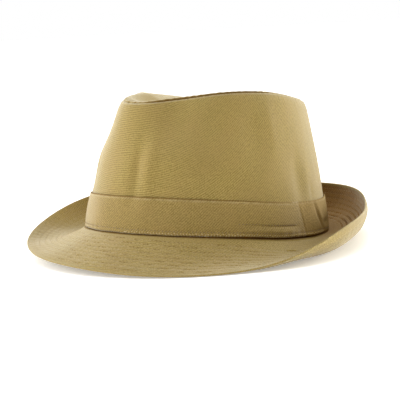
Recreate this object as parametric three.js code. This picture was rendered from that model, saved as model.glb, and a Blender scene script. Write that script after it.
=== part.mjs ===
// A cloth trilby in millimetres: brim, crown wall, dented top panel and hat band.
// +Z is up, the hat faces -Y and the wearer's left is +X. It stands as it rests on a table,
// tipped back on the front edge of its brim, with the middle of its outline over the origin.
import * as THREE from "three";

// The oval at the foot of the crown, outside the cloth.
const HALF_WIDTH = 84.8;
const HALF_LENGTH = 97.7;
const EGG = 0.022; // how much narrower it is in front than behind
const RIM_SHIFT = 4.1; // how far back the top of the crown stands

// Cloth thicknesses.
const WALL = 2;
const TOP_PANEL = 1.6;
const BRIM = 2.2;
const BAND = 1.3;

// Seams.
const GAP = 0.35; // between two pieces that are sewn together
const BAND_HEIGHT = 26;
const BAND_LIFT = 0.9; // the band's lower edge above the brim
const BAND_EASE = 0.3; // how much looser the band lies than a seam
const BRIM_ROOT = 0.6; // the brim leaves the crown level for this far
const SHOULDER = 1.1; // the rounding at the top of the wall
const SKIRT = 4; // how deep the top panel is tucked inside the wall
const PUFF = 2.6; // how far the top panel swells above the rim
const SWELL = 0.8; // and how far above that between its middle and its seam
const LAP_FROM = 97; // the band's lapped end, degrees round from the front
const LAP_TO = 115;
const LAP_EXTRA = 0.8;

// The rounded edge of the crown's top.
const ROLL = 7; // how far it reaches from the seam
const ROLL_IN = 1.3; // how far the wall leans in at the seam
const ROLL_DOWN = 1.7; // how far the top panel dips at the seam

const REST_TILT = 4.3; // degrees that the hat tips back at rest

// The hat round its middle, one row for each angle from the front, wearer's left positive.
// foot is the height of the brim at the crown, slopes are in degrees above level,
// rim is the size of the crown's top against its foot, and top is the height of the rim.
const ROUND = [
  { angle: -150, foot: -2.1, width: 45.4, slopeIn: 10, slopeOut: 134, rim: 0.807, top: 93.8 },
  { angle: -120, foot: -4.1, width: 49.8, slopeIn: 4, slopeOut: 133, rim: 0.754, top: 96.0 },
  { angle: -90, foot: -2.7, width: 50.6, slopeIn: -12, slopeOut: 98, rim: 0.726, top: 99.6 },
  { angle: -60, foot: 0.9, width: 48.0, slopeIn: -26, slopeOut: 41, rim: 0.747, top: 100.8 },
  { angle: -30, foot: 3.6, width: 44.6, slopeIn: -29, slopeOut: -2, rim: 0.794, top: 97.6 },
  { angle: 0, foot: 4.6, width: 41.8, slopeIn: -30, slopeOut: -22, rim: 0.818, top: 94.9 },
  { angle: 30, foot: 4.2, width: 42.8, slopeIn: -37, slopeOut: -18, rim: 0.794, top: 97.8 },
  { angle: 60, foot: 2.1, width: 45.5, slopeIn: -39.6, slopeOut: 11.8, rim: 0.747, top: 101.9 },
  { angle: 90, foot: -1.75, width: 55.7, slopeIn: -27.8, slopeOut: 80, rim: 0.726, top: 101.8 },
  { angle: 120, foot: -2.6, width: 43.8, slopeIn: -10.4, slopeOut: 101, rim: 0.754, top: 97.8 },
  { angle: 150, foot: -1.5, width: 47.5, slopeIn: 1, slopeOut: 118, rim: 0.807, top: 94.4 },
  { angle: 180, foot: -0.4, width: 43.5, slopeIn: 7, slopeOut: 129, rim: 0.832, top: 93.8 },
];
const CURL = 1.45; // how late the brim turns from its first slope to its last
const LEAN = 1.35; // how late the wall leans in on its way up

// Dents and swells of the wall. angle is round from the front, wearer's left positive,
// height runs from 0 at the foot to 1 at the rim, and a negative depth is a swell.
const FOLDS = [
  { angle: 29, halfAngle: 20, height: 1.1, halfHeight: 0.5, depth: 9.5 }, // left front pinch
  { angle: 29, halfAngle: 20, height: 0.57, halfHeight: 0.15, depth: -3 },
  { angle: -46, halfAngle: 20, height: 1.1, halfHeight: 0.5, depth: 9.5 }, // right front pinch
  { angle: -46, halfAngle: 20, height: 0.57, halfHeight: 0.15, depth: -3 },
  { angle: 11, halfAngle: 4, height: 0.47, halfHeight: 0.22, depth: 1.9 }, // front furrow
  { angle: 18.5, halfAngle: 4, height: 0.47, halfHeight: 0.25, depth: -1.2 },
  { angle: 71, halfAngle: 8.5, height: 0.74, halfHeight: 0.19, depth: 2.2 }, // side dent
  { angle: 99, halfAngle: 5.4, height: 0.38, halfHeight: 0.17, depth: 1.6 }, // side furrow
];

// The dent in the top panel, one row for each station from front to back.
const DENT = [
  { y: -80, depth: 1, halfWidth: 12 },
  { y: -50, depth: 9, halfWidth: 15 },
  { y: -20, depth: 18, halfWidth: 20 },
  { y: 10, depth: 20, halfWidth: 25 },
  { y: 40, depth: 15, halfWidth: 28 },
  { y: 85, depth: 2, halfWidth: 26 },
];
const TOP_CENTRE = 93; // height of the undented top panel at its middle

// Rises of the top panel: share is how far out each one is from the middle to the seam.
const SWELLS = [
  { angle: -38, halfAngle: 30, share: 0.86, halfShare: 0.16, height: 1.7 },
  { angle: 24, halfAngle: 18, share: 0.88, halfShare: 0.1, height: 0.6 },
];

// How finely the surfaces are divided.
const STEPS = 77; // round the hat
const BRIM_ROWS = 7;
const WALL_ROWS = [0.14, 0.3, 0.46, 0.62, 0.76, 0.88, 0.96];
const TOP_ROWS = [0.93, 0.8, 0.64, 0.48, 0.32, 0.16];

const DEG = Math.PI / 180;

// Smooth value of a table's column at a place between its rows.
function between(rows, key, column, at, before, after) {
  const last = rows.length - 1;
  let i = 0;
  while (i < last - 1 && at > rows[i + 1][key]) i += 1;
  const from = rows[i];
  const to = rows[i + 1];
  const share = (at - from[key]) / (to[key] - from[key]);
  const p0 = i > 0 ? rows[i - 1][column] : before(column);
  const p3 = i < last - 1 ? rows[i + 2][column] : after(column);
  const p1 = from[column];
  const p2 = to[column];
  const square = share * share;
  const cube = square * share;
  return (
    0.5 *
    (2 * p1 + (p2 - p0) * share + (2 * p0 - 5 * p1 + 4 * p2 - p3) * square +
      (3 * p1 - p0 - 3 * p2 + p3) * cube)
  );
}

// A column of ROUND at a signed angle; the last row leads on to the first.
function round(column, angle) {
  const first = ROUND[0].angle;
  const turned = first + ((((angle - first) % 360) + 360) % 360);
  const rows = [...ROUND, { ...ROUND[0], angle: first + 360 }];
  const before = (name) => ROUND[ROUND.length - 1][name];
  const after = (name) => ROUND[1][name];
  return between(rows, "angle", column, turned, before, after);
}

// A column of DENT at a station along the hat.
function dent(column, y) {
  const at = THREE.MathUtils.clamp(y, DENT[0].y, DENT[DENT.length - 1].y);
  const end = (row) => (name) => DENT[row][name];
  return between(DENT, "y", column, at, end(0), end(DENT.length - 1));
}

// Point of the foot oval, and the level direction that points out of it.
function oval(angle) {
  const t = angle * DEG;
  return new THREE.Vector3(
    HALF_WIDTH * Math.sin(t) * (1 - EGG * Math.cos(t)),
    -HALF_LENGTH * Math.cos(t),
    0,
  );
}

function outward(angle) {
  const along = oval(angle + 0.1).sub(oval(angle - 0.1));
  return new THREE.Vector3(along.y, -along.x, 0).normalize();
}

// How far the folds push the wall in at an angle and a height share.
function foldDepth(angle, height) {
  let depth = 0;
  for (const fold of FOLDS) {
    const turn = ((angle - fold.angle + 540) % 360) - 180;
    const across = turn / fold.halfAngle;
    const up = (height - fold.height) / fold.halfHeight;
    depth += fold.depth * Math.exp(-across * across - up * up);
  }
  return depth;
}

// Share of the rim's rounding at a distance from the seam.
function rolling(distance) {
  const left = THREE.MathUtils.clamp(1 - distance / ROLL, 0, 1);
  return left * left;
}

// Point outside the wall's cloth at an angle and a height share, moved out by `out`.
function wallPoint(angle, height, out = 0) {
  const foot = oval(angle);
  const top = foot.clone().multiplyScalar(round("rim", angle));
  top.y += RIM_SHIFT;
  const low = round("foot", angle);
  const high = round("top", angle);
  const rolled = ROLL_IN * rolling((1 - height) * (high - low));
  const point = foot.lerp(top, Math.pow(height, LEAN));
  point.addScaledVector(outward(angle), out - rolled - foldDepth(angle, height));
  point.z = THREE.MathUtils.lerp(low, high, height);
  return point;
}

// Height share of the wall at a distance above its foot.
function shareAt(angle, above) {
  return above / (round("top", angle) - round("foot", angle));
}

// Cross-sections, each a closed run of points at one angle.

function brimSection(angle) {
  const way = outward(angle);
  const start = oval(angle).addScaledVector(way, -WALL);
  const foot = round("foot", angle) - BRIM / 2;
  const width = round("width", angle);
  const slopeIn = round("slopeIn", angle);
  const slopeOut = round("slopeOut", angle);
  const upper = [];
  const lower = [];
  const add = (reach, height, slope) => {
    const side = (BRIM / 2) * Math.sin(slope * DEG);
    const lift = (BRIM / 2) * Math.cos(slope * DEG);
    upper.push(start.clone().addScaledVector(way, reach - side).setZ(foot + height + lift));
    lower.push(start.clone().addScaledVector(way, reach + side).setZ(foot + height - lift));
  };
  add(0, 0, 0);
  let reach = WALL + BRIM_ROOT;
  let height = 0;
  add(reach, height, slopeIn / 2);
  const fine = 8; // short steps between two rows
  for (let step = 1; step <= BRIM_ROWS * fine; step += 1) {
    const share = (step - 0.5) / (BRIM_ROWS * fine);
    const slope = slopeIn + (slopeOut - slopeIn) * Math.pow(share, CURL);
    reach += (width / BRIM_ROWS / fine) * Math.cos(slope * DEG);
    height += (width / BRIM_ROWS / fine) * Math.sin(slope * DEG);
    if (step % fine === 0) add(reach, height, slope);
  }
  return [...lower, ...upper.reverse()];
}

function wallSection(angle) {
  const band = shareAt(angle, BAND_HEIGHT);
  const rise = shareAt(angle, 1);
  const shares = [0, band / 2, band];
  WALL_ROWS.forEach((row) => shares.push(band + (1 - band) * row));
  const inner = [...shares, 1].map((share) => wallPoint(angle, share, -WALL));
  inner[0].z += GAP;
  const outer = shares.map((share) => wallPoint(angle, share));
  outer[0].z += GAP;
  outer.push(wallPoint(angle, 1 - SHOULDER * rise));
  outer.push(wallPoint(angle, 1, -SHOULDER));
  return [...outer, ...inner.reverse()];
}

function bandSection(angle) {
  const top = shareAt(angle, BAND_HEIGHT);
  const shares = [shareAt(angle, BAND_LIFT), top / 2, top];
  const lapped = angle > LAP_FROM && angle < LAP_TO;
  const thickness = BAND + (lapped ? LAP_EXTRA : 0);
  const inside = GAP + BAND_EASE;
  const inner = shares.map((share) => wallPoint(angle, share, inside));
  const outer = shares.map((share) => wallPoint(angle, share, inside + thickness));
  return [...outer, ...inner.reverse()];
}

// Height of the top panel at a share of the way out from its middle to its seam,
// where its middle is `reach` away from the seam.
function topHeight(angle, share, place, reach) {
  const edge = round("top", angle) + PUFF;
  const square = share * share;
  let height = THREE.MathUtils.lerp(TOP_CENTRE, edge, square);
  height += SWELL * 4 * square * (1 - square);
  for (const swell of SWELLS) {
    const turn = (((angle - swell.angle + 540) % 360) - 180) / swell.halfAngle;
    const out = (share - swell.share) / swell.halfShare;
    height += swell.height * Math.exp(-turn * turn - out * out);
  }
  height -= ROLL_DOWN * rolling((1 - share) * reach);
  const across = place.x / dent("halfWidth", place.y);
  const fade = 1 - Math.pow(share, 6);
  return height - fade * dent("depth", place.y) * Math.exp(-across * across);
}

function topSection(angle) {
  const seam = wallPoint(angle, 1, -WALL - GAP);
  const middle = new THREE.Vector3(0, RIM_SHIFT, 0);
  const reach = Math.hypot(seam.x - middle.x, seam.y - middle.y);
  const panel = (share, drop) => {
    const place = middle.clone().lerp(seam, share);
    place.z = topHeight(angle, share, place, reach) - drop;
    return place;
  };
  const skirt = (inset, height) => {
    const place = wallPoint(angle, 1, -WALL - GAP - inset);
    place.z = round("top", angle) + height;
    return place;
  };
  const upper = TOP_ROWS.map((share) => panel(share, 0));
  const lower = TOP_ROWS.map((share) => panel(share, TOP_PANEL)).reverse();
  return {
    points: [
      ...lower,
      skirt(TOP_PANEL + 0.6, -TOP_PANEL),
      skirt(TOP_PANEL, -SKIRT),
      skirt(0, -SKIRT),
      skirt(0, 0),
      panel(0.985, 0),
      ...upper,
    ],
    poles: [panel(0, TOP_PANEL), panel(0, 0)],
  };
}

// A solid swept round the hat from its sections; poles close it across the middle.
function sweep(name, colour, sectionAt) {
  const places = [];
  const faces = [];
  const sections = [];
  for (let step = 0; step < STEPS; step += 1) {
    const made = sectionAt((step * 360) / STEPS - 180 / STEPS);
    sections.push(made.points ?? made);
    if (step === 0 && made.poles) sections.poles = made.poles;
  }
  sections.forEach((section) => section.forEach((point) => places.push(point)));
  const rows = sections[0].length;
  const at = (step, row) => (step % STEPS) * rows + (row % rows);
  const open = Boolean(sections.poles);
  for (let step = 0; step < STEPS; step += 1) {
    for (let row = 0; row < (open ? rows - 1 : rows); row += 1) {
      faces.push(at(step, row), at(step + 1, row), at(step + 1, row + 1));
      faces.push(at(step, row), at(step + 1, row + 1), at(step, row + 1));
    }
    if (open) {
      faces.push(at(step + 1, 0), at(step, 0), places.length);
      faces.push(at(step, rows - 1), at(step + 1, rows - 1), places.length + 1);
    }
  }
  if (open) places.push(...sections.poles);
  const geometry = new THREE.BufferGeometry().setFromPoints(places).setIndex(faces);
  geometry.rotateX(-REST_TILT * DEG);
  const material = new THREE.MeshStandardMaterial({ color: colour, roughness: 0.9, metalness: 0 });
  const mesh = new THREE.Mesh(geometry, material);
  mesh.name = name;
  return mesh;
}

const hat = new THREE.Group();
hat.name = "trilby";
hat.add(sweep("brim", 0xb59a66, brimSection));
hat.add(sweep("crown_side", 0xb89d69, wallSection));
hat.add(sweep("band", 0xb0955f, bandSection));
hat.add(sweep("crown_tip", 0xbba16d, topSection));

// Stand it on the floor with its outline centred on the origin.
const box = new THREE.Box3().setFromObject(hat);
const middle = box.getCenter(new THREE.Vector3());
hat.children.forEach((mesh) => mesh.geometry.translate(-middle.x, -middle.y, -box.min.z));

export default hat;
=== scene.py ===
"""A khaki cotton twill trilby: blocked cloth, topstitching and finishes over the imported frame."""

import dataclasses
import enum
import logging
import math
from collections.abc import Callable

import bmesh
import bpy
import numpy as np
from mathutils import Matrix, Vector


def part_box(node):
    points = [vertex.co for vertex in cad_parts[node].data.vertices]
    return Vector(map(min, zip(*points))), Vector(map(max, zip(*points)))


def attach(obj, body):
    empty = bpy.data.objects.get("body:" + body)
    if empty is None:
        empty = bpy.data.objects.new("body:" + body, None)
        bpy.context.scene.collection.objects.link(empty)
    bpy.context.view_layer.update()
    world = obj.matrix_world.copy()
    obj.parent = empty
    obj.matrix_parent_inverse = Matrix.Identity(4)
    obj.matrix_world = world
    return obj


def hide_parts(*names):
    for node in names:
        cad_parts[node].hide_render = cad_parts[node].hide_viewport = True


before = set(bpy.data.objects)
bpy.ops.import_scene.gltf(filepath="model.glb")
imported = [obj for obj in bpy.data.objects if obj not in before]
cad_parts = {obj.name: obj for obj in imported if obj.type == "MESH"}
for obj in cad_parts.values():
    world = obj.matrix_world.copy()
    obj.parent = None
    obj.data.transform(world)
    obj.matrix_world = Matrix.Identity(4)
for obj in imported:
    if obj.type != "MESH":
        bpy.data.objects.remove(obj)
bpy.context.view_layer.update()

log = logging.getLogger("trilby")
MM = 0.001
RIPPLES = 6
Points = np.ndarray
Colour = tuple[float, float, float]
Socket = bpy.types.NodeSocket
Line = Callable[[Points], tuple[Points, Points]]


class Face(enum.Enum):
    """Which face of a cloth wall a thing sits on."""

    OUTER = 1
    INNER = -1


@dataclasses.dataclass(frozen=True)
class Station:
    """The hat's section at one angle round from the front, in millimetres and degrees.

    foot is the height of the crown's foot. width is the brim's width along the cloth, with
    slope_in its slope at the crown and slope_out at its edge. rim is the size of the rim as
    a share of the foot's oval, and top is the rim's height.
    """

    angle: float
    foot: float
    width: float
    slope_in: float
    slope_out: float
    rim: float
    top: float


@dataclasses.dataclass(frozen=True)
class Fold:
    """A dent of the wall, or a swell where its depth is negative.

    Angles are in degrees, heights are shares of the wall, and depth is in millimetres.
    """

    angle: float
    half_angle: float
    height: float
    half_height: float
    depth: float


@dataclasses.dataclass(frozen=True)
class Hollow:
    """The dent along the top of the crown at one place from front to back, in millimetres."""

    y: float
    depth: float
    half_width: float


@dataclasses.dataclass(frozen=True)
class Swell:
    """A rise of the top panel: its angle, its share of the way out, and its height."""

    angle: float
    half_angle: float
    share: float
    half_share: float
    height: float


@dataclasses.dataclass(frozen=True)
class Block:
    """The wooden block and flange that the cloth is shaped over, in millimetres and degrees.

    The crown's foot is an oval, egg shaped by egg, and its rim lies rim_shift further back.
    wall, tip, brim and band are the cloths' thicknesses, and gap is the room between two of
    them. root is where the free brim starts, out from the wall. puff, swell and top_centre
    shape the top panel. roll is the width of the rolled rim, which the wall turns in by
    roll_in and the top turns down by roll_down. tilt is how far the hat tips forward as it
    stands. curl says how late the brim's slope changes, and lean how late the wall leans in.
    facets is the number of sides of the solid wall, whose box places the hat.
    """

    half_width: float = 84.8
    half_length: float = 97.7
    egg: float = 0.022
    rim_shift: float = 4.1
    wall: float = 2.0
    tip: float = 1.6
    brim: float = 2.2
    band: float = 1.3
    gap: float = 0.35
    band_height: float = 26.0
    root: float = 0.6
    puff: float = 2.6
    swell: float = 0.8
    roll: float = 7.0
    roll_in: float = 1.3
    roll_down: float = 1.7
    tilt: float = 4.3
    curl: float = 1.45
    lean: float = 1.35
    top_centre: float = 93.0
    facets: int = 77
    brim_steps: int = 56
    stations: tuple[Station, ...] = (
        Station(-150, -2.1, 45.4, 10, 134, 0.807, 93.8),
        Station(-120, -4.1, 49.8, 4, 133, 0.754, 96.0),
        Station(-90, -2.7, 50.6, -12, 98, 0.726, 99.6),
        Station(-60, 0.9, 48.0, -26, 41, 0.747, 100.8),
        Station(-30, 3.6, 44.6, -29, -2, 0.794, 97.6),
        Station(0, 4.6, 41.8, -30, -22, 0.818, 94.9),
        Station(30, 4.2, 42.8, -37, -18, 0.794, 97.8),
        Station(60, 2.1, 45.5, -39.6, 11.8, 0.747, 101.9),
        Station(90, -1.75, 55.7, -27.8, 80, 0.726, 101.8),
        Station(120, -2.6, 43.8, -10.4, 101, 0.754, 97.8),
        Station(150, -1.5, 47.5, 1, 118, 0.807, 94.4),
        Station(180, -0.4, 43.5, 7, 129, 0.832, 93.8),
    )
    folds: tuple[Fold, ...] = (
        Fold(29, 20, 1.1, 0.5, 9.5),
        Fold(29, 20, 0.57, 0.15, -3.0),
        Fold(-46, 20, 1.1, 0.5, 9.5),
        Fold(-46, 20, 0.57, 0.15, -3.0),
        Fold(11, 3.2, 0.47, 0.22, 1.9),
        Fold(18.5, 3.5, 0.47, 0.25, -1.2),
        Fold(71, 8.5, 0.74, 0.19, 2.2),
        Fold(84, 5, 0.74, 0.2, -0.6),
        Fold(99, 5.4, 0.38, 0.17, 1.6),
        Fold(109, 2, 0.32, 0.06, 0.4),
        Fold(-28, 3, 0.5, 0.14, 0.8),
        Fold(-112, 4, 0.5, 0.25, 0.9),
        Fold(-160, 5, 0.45, 0.2, 0.9),
        Fold(152, 4, 0.5, 0.25, 1.0),
    )
    hollows: tuple[Hollow, ...] = (
        Hollow(-80, 1, 12),
        Hollow(-50, 9, 15),
        Hollow(-20, 18, 20),
        Hollow(10, 20, 25),
        Hollow(40, 15, 28),
        Hollow(85, 2, 26),
    )
    swells: tuple[Swell, ...] = (
        Swell(-38, 30, 0.86, 0.16, 1.7),
        Swell(24, 18, 0.88, 0.1, 0.6),
    )

    def column(self, name: str, angle: Points) -> Points:
        """Smooth value of a station's size at each angle.

        Args:
            name: the field of Station that is read.
            angle: degrees round from the front.

        Returns:
            The value at each angle.
        """
        knots = np.array([s.angle for s in self.stations], float)
        values = np.array([getattr(s, name) for s in self.stations], float)
        ends = np.append(knots, knots[0] + 360)
        wound = np.concatenate([values[-1:], values, values[:2]])
        turned = knots[0] + np.mod(np.asarray(angle, float) - knots[0], 360)
        i = np.clip(np.searchsorted(ends, turned, side="right") - 1, 0, len(knots) - 1)
        share = (turned - ends[i]) / (ends[i + 1] - ends[i])
        return catmull(wound[i], wound[i + 1], wound[i + 2], wound[i + 3], share)

    def hollow(self, name: str, y: Points) -> Points:
        """Smooth value of a size of the top's dent at each station.

        Args:
            name: the field of Hollow that is read.
            y: millimetres from front to back.

        Returns:
            The value at each station.
        """
        knots = np.array([h.y for h in self.hollows], float)
        values = np.array([getattr(h, name) for h in self.hollows], float)
        held = np.concatenate([values[:1], values, values[-1:]])
        at = np.clip(y, knots[0], knots[-1])
        i = np.clip(np.searchsorted(knots, at, side="right") - 1, 0, len(knots) - 2)
        share = (at - knots[i]) / (knots[i + 1] - knots[i])
        return catmull(held[i], held[i + 1], held[i + 2], held[i + 3], share)

    def oval(self, angle: Points) -> Points:
        """The oval at the foot of the crown, in plan.

        Args:
            angle: degrees round from the front.

        Returns:
            A point of the oval at each angle.
        """
        t = np.radians(angle)
        x = self.half_width * np.sin(t) * (1 - self.egg * np.cos(t))
        return np.stack([x, -self.half_length * np.cos(t)], -1)

    def outward(self, angle: Points) -> Points:
        """Level directions that point out of the oval.

        Args:
            angle: degrees round from the front.

        Returns:
            A direction of length 1 at each angle.
        """
        along = self.oval(angle + 0.1) - self.oval(angle - 0.1)
        way = np.stack([along[..., 1], -along[..., 0]], -1)
        return way / np.linalg.norm(way, axis=-1, keepdims=True)

    def arc(self, angle: Points) -> Points:
        """Length along the foot's oval from the front.

        Args:
            angle: degrees round from the front.

        Returns:
            Millimetres to each angle, negative to the wearer's right.
        """
        fine = np.arange(-360, 361, 1.0)
        steps = np.linalg.norm(np.diff(self.oval(fine), axis=0), axis=1)
        run = np.concatenate([[0], np.cumsum(steps)])
        return np.interp(angle, fine, run - run[len(run) // 2])

    def fold_depth(self, angle: Points, height: Points) -> Points:
        """How far the folds push the wall in.

        Args:
            angle: degrees round from the front.
            height: share of the way from the foot to the rim.

        Returns:
            Millimetres inwards.
        """
        depth = 0.0 * np.asarray(angle)
        for fold in self.folds:
            across = fold.depth * bump(turn(angle, fold.angle), fold.half_angle)
            depth = depth + across * bump(height - fold.height, fold.half_height)
        return depth

    def wall_point(self, angle: Points, height: Points, out: Points = 0.0) -> Points:
        """Points of the wall's outer face.

        Args:
            angle: degrees round from the front.
            height: share of the way from the foot to the rim.
            out: how far each point is moved out of the face.

        Returns:
            The points, in millimetres, before the hat is stood down.
        """
        foot = self.oval(angle)
        rim = foot * self.column("rim", angle)[..., None]
        rim[..., 1] += self.rim_shift
        lean = (np.clip(height, 0, None) ** self.lean)[..., None]
        low, high = self.column("foot", angle), self.column("top", angle)
        rolled = self.roll_in * np.clip(1 - (1 - height) * (high - low) / self.roll, 0, 1) ** 2
        push = (out - rolled - self.fold_depth(angle, height))[..., None]
        plan = foot * (1 - lean) + rim * lean + self.outward(angle) * push
        z = low * (1 - height) + high * height
        return np.concatenate([plan, z[..., None]], -1)

    def share_at(self, angle: Points, above: Points) -> Points:
        """The wall's height share at a distance above its foot."""
        return above / (self.column("top", angle) - self.column("foot", angle))

    def tip_height(self, angle: Points, share: Points, place: Points) -> Points:
        """Height of the top panel.

        Args:
            angle: degrees round from the front.
            share: share of the way out from its middle to its seam.
            place: plan position of each point.

        Returns:
            The height at each point, in millimetres.
        """
        edge = self.column("top", angle) + self.puff
        plain = self.top_centre + (edge - self.top_centre) * share**2
        plain = plain + self.swell * 4 * share**2 * (1 - share**2)
        reach = np.linalg.norm(place[..., :2] - (0, self.rim_shift), axis=-1) / np.maximum(share, 0.01)
        rolled = self.roll_down * np.clip(1 - (1 - share) * reach / self.roll, 0, 1) ** 2
        across = place[..., 0] / self.hollow("half_width", place[..., 1])
        fade = 1 - share**6
        dent = fade * self.hollow("depth", place[..., 1]) * np.exp(-across * across)
        for swell in self.swells:
            rise = bump(turn(angle, swell.angle), swell.half_angle)
            plain = plain + swell.height * rise * bump(share - swell.share, swell.half_share)
        return plain - rolled - dent

    def brim_frame(self, angle: Points, share: Points) -> tuple[Points, Points, Points]:
        """The middle sheet of the brim.

        Args:
            angle: degrees round from the front.
            share: share of the brim's width out from the crown, or below 0 for its root.

        Returns:
            Points of the middle sheet, its directions outwards, and its upward normals.
        """
        fine = self.brim_steps
        places, where = np.unique(angle, return_inverse=True)
        width = self.column("width", places)[:, None]
        first = self.column("slope_in", places)[:, None]
        last = self.column("slope_out", places)[:, None]
        mid = (np.arange(fine) + 0.5) / fine
        slopes = np.radians(first + (last - first) * mid**self.curl)
        zero = np.zeros((len(places), 1))
        reach = np.concatenate([zero, np.cumsum(np.cos(slopes), 1)], 1) * width / fine
        rise = np.concatenate([zero, np.cumsum(np.sin(slopes), 1)], 1) * width / fine
        at = np.clip(share, 0, 1) * fine
        i = np.minimum(at.astype(int), fine - 1)
        part = at - i
        start = self.wall + self.root
        out = start * (1 + np.clip(share, -1, 0))
        out = out + reach[where, i] * (1 - part) + reach[where, i + 1] * part
        up = rise[where, i] * (1 - part) + rise[where, i + 1] * part
        slope = first[where, 0] + (last - first)[where, 0] * np.clip(share, 0, 1) ** self.curl
        slope = np.radians(slope * (1 + np.clip(share, -1, 0)))
        way = self.outward(angle)
        plan = self.oval(angle) + way * (out - self.wall)[..., None]
        z = self.column("foot", angle) - self.brim / 2 + up
        middle = np.concatenate([plan, z[..., None]], -1)
        along = np.concatenate([way * np.cos(slope)[..., None], np.sin(slope)[..., None]], -1)
        normal = np.concatenate([-way * np.sin(slope)[..., None], np.cos(slope)[..., None]], -1)
        return middle, along, normal

    def standing(self) -> tuple[Matrix, Vector]:
        """The turn and shift that stand the shaped cloth in the frame.

        Returns:
            The turn, and the shift in millimetres that comes after it.
        """
        spin = Matrix.Rotation(-math.radians(self.tilt), 3, "X")
        angle = (np.arange(self.facets) - 0.5) * 360 / self.facets
        rows = np.array([0.0, 0.3, 1.0])
        a, h = np.meshgrid(angle, rows, indexing="ij")
        shell = self.wall_point(a.ravel(), h.ravel()) @ np.array(spin).T
        low, high = (np.array(c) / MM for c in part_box("crown_side"))
        middle = (low + high) / 2 - (shell.min(0) + shell.max(0)) / 2
        shift = Vector((middle[0], middle[1], low[2] - self.gap - shell[:, 2].min()))
        return spin, shift

    def stand(self, points: Points) -> Points:
        """Stands shaped points in the frame, in metres."""
        spin, shift = self.standing()
        return (points @ np.array(spin).T + np.array(shift)) * MM


def catmull(a: Points, b: Points, c: Points, d: Points, share: Points) -> Points:
    """Catmull-Rom value between b and c at a share from 0 to 1."""
    return 0.5 * (
        2 * b
        + (c - a) * share
        + (2 * a - 5 * b + 4 * c - d) * share**2
        + (3 * b - a - 3 * c + d) * share**3
    )


def turn(angle: Points, about: float) -> Points:
    """Angles measured from another, between -180 and 180."""
    return np.mod(angle - about + 180, 360) - 180


def bump(offset: Points, half: float) -> Points:
    """A smooth hump of height 1 that falls away over a half width."""
    return np.exp(-((offset / half) ** 2))


def ease(low: float, high: float, at: Points) -> Points:
    """Smooth step from 0 at low to 1 at high."""
    t = np.clip((np.asarray(at, float) - low) / (high - low), 0, 1)
    return t * t * (3 - 2 * t)


def ripple(angle: Points, across: Points, waves: tuple[int, int], drift: float, seed: int) -> Points:
    """A seeded sum of waves that closes on itself round the hat.

    Args:
        angle: degrees round from the front.
        across: millimetres across the cloth.
        waves: fewest and most waves round the hat.
        drift: how fast the waves slant across the cloth, in radians a millimetre.
        seed: which set of waves this is.

    Returns:
        Values of about -1 to 1.
    """
    pick = np.random.RandomState(seed)
    total = 0.0 * np.asarray(angle)
    for _ in range(RIPPLES):
        rounds = pick.randint(waves[0], waves[1] + 1)
        slant = pick.uniform(-drift, drift)
        phase = pick.uniform(0, 2 * math.pi)
        total = total + np.sin(rounds * np.radians(angle) + slant * across + phase)
    return total / math.sqrt(RIPPLES)


BLOCK = Block()


def closed_rim(angle: Points) -> Points:
    """How closed the rim's seam lies. It gapes along the wearer's front left.

    Args:
        angle: degrees round from the front.

    Returns:
        From 0 where it gapes to about 1 where it is shut.
    """
    open_share = ease(-6, 16, angle) * (1 - ease(78, 102, angle))
    nips = ease(0.5, 1.0, ripple(angle, 0 * angle, (30, 80), 0, seed=6))
    return (1 - open_share) * (0.9 - 0.6 * nips)


def rows_between(low: float, high: float, count: int) -> list[float]:
    """Evenly spaced values from low to high, both included."""
    return [low + (high - low) * i / (count - 1) for i in range(count)]


def finish_mesh(bm: bmesh.types.BMesh, name: str) -> bpy.types.Object:
    """Turns a bmesh into a linked object.

    Args:
        bm: the mesh, which is freed.
        name: the piece's name.

    Returns:
        The object, at the origin.
    """
    mesh = bpy.data.meshes.new(name)
    bm.to_mesh(mesh)
    bm.free()
    piece = bpy.data.objects.new(name, mesh)
    bpy.context.scene.collection.objects.link(piece)
    return piece


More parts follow.
